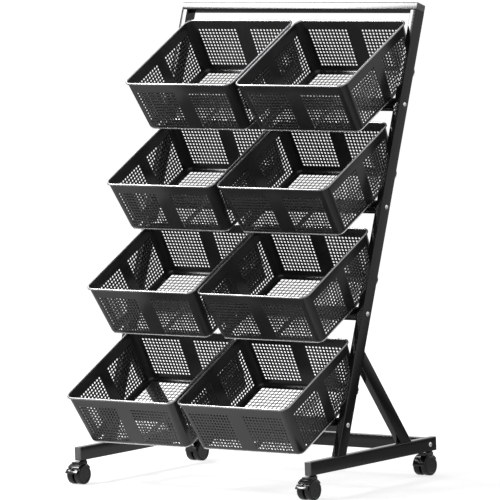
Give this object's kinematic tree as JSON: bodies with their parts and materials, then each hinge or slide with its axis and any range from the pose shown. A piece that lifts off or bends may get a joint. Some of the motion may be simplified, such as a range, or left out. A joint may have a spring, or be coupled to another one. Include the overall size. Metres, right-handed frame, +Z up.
{
  "type": "fruit rack",
  "caption": "Leaning display rack with paired perforated trays on each tier, a rectangular-tube frame and swivel casters.",
  "frame": {"origin": "on the floor, under the middle of the rack's overall box", "axes": "+X to the right seen from the front, +Y towards the back, +Z up"},
  "size_m": [0.78, 0.6138, 1.1991],
  "materials": {
    "frame_black": "gloss",
    "tray_black": "satin",
    "bolt_zinc": "satin",
    "plug_black": "satin",
    "caster_black": "gloss",
    "wheel_black": "satin",
    "caster_steel": "satin"
  },
  "bodies": {
    "rack_frame": {"brace_left": "frame_black", "brace_right": "frame_black", "caster_stem_front_left": "caster_steel", "caster_stem_front_right": "caster_steel", "caster_stem_rear_left": "caster_steel", "caster_stem_rear_right": "caster_steel", "foot_left": "frame_black", "foot_plug_front_left": "plug_black", "foot_plug_front_right": "plug_black", "foot_plug_rear_left": "plug_black", "foot_plug_rear_right": "plug_black", "foot_right": "frame_black", "rear_bar": "frame_black", "rear_bolt_left": "bolt_zinc", "rear_bolt_right": "bolt_zinc", "tier_bar_1": "frame_black", "tier_bar_2": "frame_black", "tier_bar_3": "frame_black", "tier_bar_4": "frame_black", "tier_bolt_1_left": "bolt_zinc", "tier_bolt_1_right": "bolt_zinc", "tier_bolt_2_left": "bolt_zinc", "tier_bolt_2_right": "bolt_zinc", "tier_bolt_3_left": "bolt_zinc", "tier_bolt_3_right": "bolt_zinc", "tier_bolt_4_left": "bolt_zinc", "tier_bolt_4_right": "bolt_zinc", "top_bar": "frame_black", "top_plug_left": "plug_black", "top_plug_right": "plug_black", "tray_1_left": "tray_black", "tray_1_right": "tray_black", "tray_2_left": "tray_black", "tray_2_right": "tray_black", "tray_3_left": "tray_black", "tray_3_right": "tray_black", "tray_4_left": "tray_black", "tray_4_right": "tray_black", "upright_left": "frame_black", "upright_right": "frame_black"},
    "caster_front_left": {"caster_housing_front_left": "caster_black", "caster_axle_front_left": "caster_steel"},
    "wheel_front_left_outer": {"wheel_front_left_outer": "wheel_black"},
    "wheel_front_left_inner": {"wheel_front_left_inner": "wheel_black"},
    "pedal_front_left": {"brake_pedal_front_left": "caster_black"},
    "caster_rear_left": {"caster_housing_rear_left": "caster_black", "caster_axle_rear_left": "caster_steel"},
    "wheel_rear_left_outer": {"wheel_rear_left_outer": "wheel_black"},
    "wheel_rear_left_inner": {"wheel_rear_left_inner": "wheel_black"},
    "caster_front_right": {"caster_housing_front_right": "caster_black", "caster_axle_front_right": "caster_steel"},
    "wheel_front_right_outer": {"wheel_front_right_outer": "wheel_black"},
    "wheel_front_right_inner": {"wheel_front_right_inner": "wheel_black"},
    "pedal_front_right": {"brake_pedal_front_right": "caster_black"},
    "caster_rear_right": {"caster_housing_rear_right": "caster_black", "caster_axle_rear_right": "caster_steel"},
    "wheel_rear_right_outer": {"wheel_rear_right_outer": "wheel_black"},
    "wheel_rear_right_inner": {"wheel_rear_right_inner": "wheel_black"}
  },
  "joints": [
    {"name": "swivel_front_left", "type": "hinge", "parent": "rack_frame", "child": "caster_front_left", "pos_m": [-0.369, -0.22343, 0.06], "axis": [0, 0, 1], "continuous": true},
    {"name": "roll_front_left_outer", "type": "hinge", "parent": "caster_front_left", "child": "wheel_front_left_outer", "pos_m": [-0.381, -0.24143, 0.025], "axis": [1, 0, 0], "continuous": true},
    {"name": "roll_front_left_inner", "type": "hinge", "parent": "caster_front_left", "child": "wheel_front_left_inner", "pos_m": [-0.357, -0.24143, 0.025], "axis": [1, 0, 0], "continuous": true},
    {"name": "press_front_left", "type": "hinge", "parent": "caster_front_left", "child": "pedal_front_left", "pos_m": [-0.369, -0.26599, 0.03946], "axis": [1, 0, 0], "range_deg": [0, 15]},
    {"name": "swivel_rear_left", "type": "hinge", "parent": "rack_frame", "child": "caster_rear_left", "pos_m": [-0.369, 0.26257, 0.06], "axis": [0, 0, 1], "continuous": true},
    {"name": "roll_rear_left_outer", "type": "hinge", "parent": "caster_rear_left", "child": "wheel_rear_left_outer", "pos_m": [-0.381, 0.24457, 0.025], "axis": [1, 0, 0], "continuous": true},
    {"name": "roll_rear_left_inner", "type": "hinge", "parent": "caster_rear_left", "child": "wheel_rear_left_inner", "pos_m": [-0.357, 0.24457, 0.025], "axis": [1, 0, 0], "continuous": true},
    {"name": "swivel_front_right", "type": "hinge", "parent": "rack_frame", "child": "caster_front_right", "pos_m": [0.369, -0.22343, 0.06], "axis": [0, 0, 1], "continuous": true},
    {"name": "roll_front_right_outer", "type": "hinge", "parent": "caster_front_right", "child": "wheel_front_right_outer", "pos_m": [0.381, -0.24143, 0.025], "axis": [1, 0, 0], "continuous": true},
    {"name": "roll_front_right_inner", "type": "hinge", "parent": "caster_front_right", "child": "wheel_front_right_inner", "pos_m": [0.357, -0.24143, 0.025], "axis": [1, 0, 0], "continuous": true},
    {"name": "press_front_right", "type": "hinge", "parent": "caster_front_right", "child": "pedal_front_right", "pos_m": [0.369, -0.26599, 0.03946], "axis": [1, 0, 0], "range_deg": [0, 15]},
    {"name": "swivel_rear_right", "type": "hinge", "parent": "rack_frame", "child": "caster_rear_right", "pos_m": [0.369, 0.26257, 0.06], "axis": [0, 0, 1], "continuous": true},
    {"name": "roll_rear_right_outer", "type": "hinge", "parent": "caster_rear_right", "child": "wheel_rear_right_outer", "pos_m": [0.381, 0.24457, 0.025], "axis": [1, 0, 0], "continuous": true},
    {"name": "roll_rear_right_inner", "type": "hinge", "parent": "caster_rear_right", "child": "wheel_rear_right_inner", "pos_m": [0.357, 0.24457, 0.025], "axis": [1, 0, 0], "continuous": true}
  ]
}
